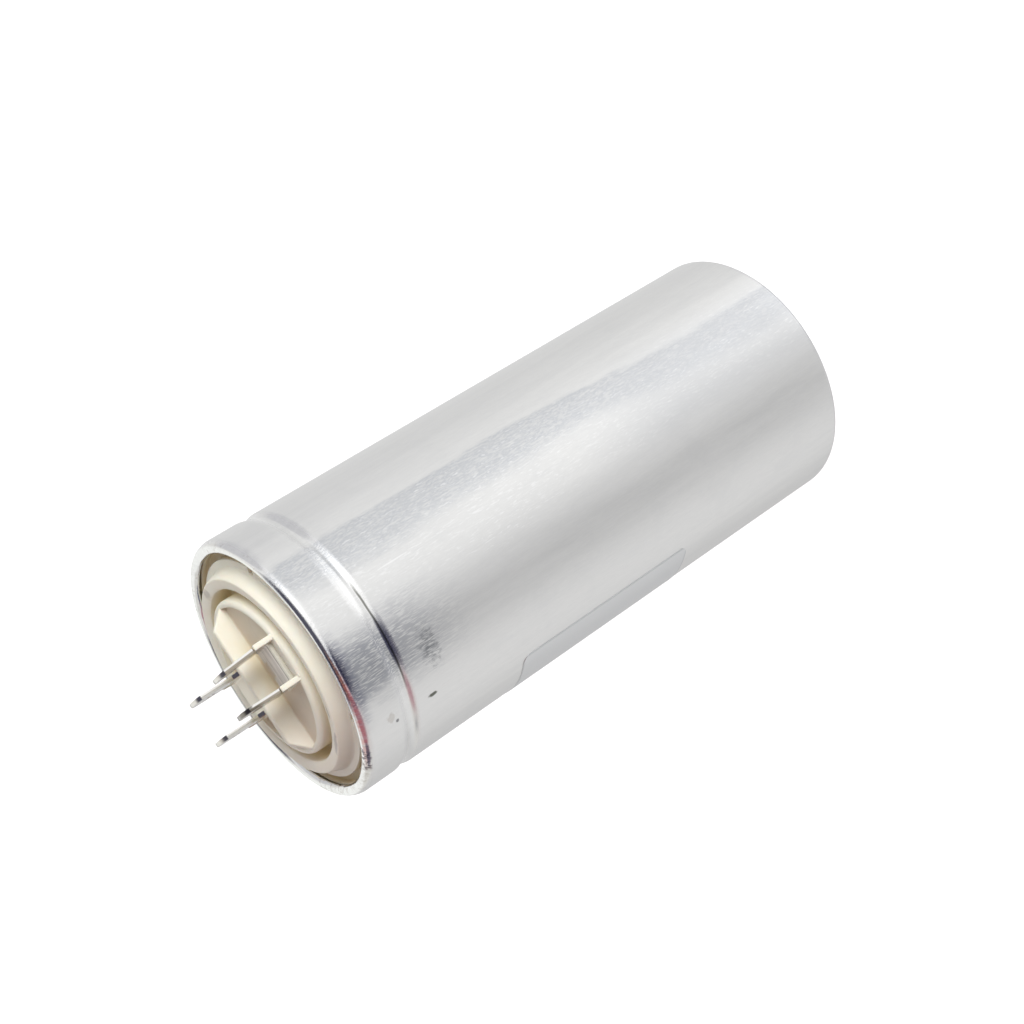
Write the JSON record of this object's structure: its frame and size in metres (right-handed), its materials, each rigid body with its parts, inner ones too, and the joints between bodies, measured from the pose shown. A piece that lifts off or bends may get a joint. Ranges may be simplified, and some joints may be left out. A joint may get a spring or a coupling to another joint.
{
  "type": "film capacitor",
  "caption": "Film capacitor in a tall round aluminium can with a beaded, rolled rim, an ivory moulded cover with a dividing bar, and upright push-on tabs.",
  "frame": {"origin": "centre of the can's closed end", "axes": "+Z along the can's axis towards the tabs, +X along the bar between the two terminals, -Y towards terminal_front"},
  "size_m": [0.0501, 0.05, 0.1276],
  "materials": {
    "can_aluminium": "bare, fine streaks along the can, light scratches",
    "cover_plastic": "ivory moulding, satin",
    "seal_rubber": "matt black",
    "tinned_brass": "tin plated, sheared edges",
    "metallised_film": "smooth film with a thin metal layer",
    "wrap_film": "clear tape turns",
    "core_plastic": "satin",
    "sprayed_zinc": "grainy sprayed metal",
    "lining_plastic": "satin",
    "lead_copper": "bare copper wire",
    "tube_plastic": "satin",
    "solder": "smooth",
    "label_film": "pale film, no print"
  },
  "bodies": {
    "root": {"can": "can_aluminium", "cover": "cover_plastic", "gasket": "seal_rubber", "terminal_front": "tinned_brass", "terminal_rear": "tinned_brass", "film_roll": "metallised_film", "roll_wrap": "wrap_film", "core_tube": "core_plastic", "end_spray_top": "sprayed_zinc", "end_spray_bottom": "sprayed_zinc", "bottom_cup": "lining_plastic", "can_liner": "lining_plastic", "top_spacer": "lining_plastic", "lead_front": "lead_copper", "lead_rear": "lead_copper", "lead_tube_front": "tube_plastic", "lead_tube_rear": "tube_plastic", "tab_solder_front": "solder", "tab_solder_rear": "solder", "end_solder_top": "solder", "end_solder_bottom": "solder", "label": "label_film"}
  },
  "joints": []
}
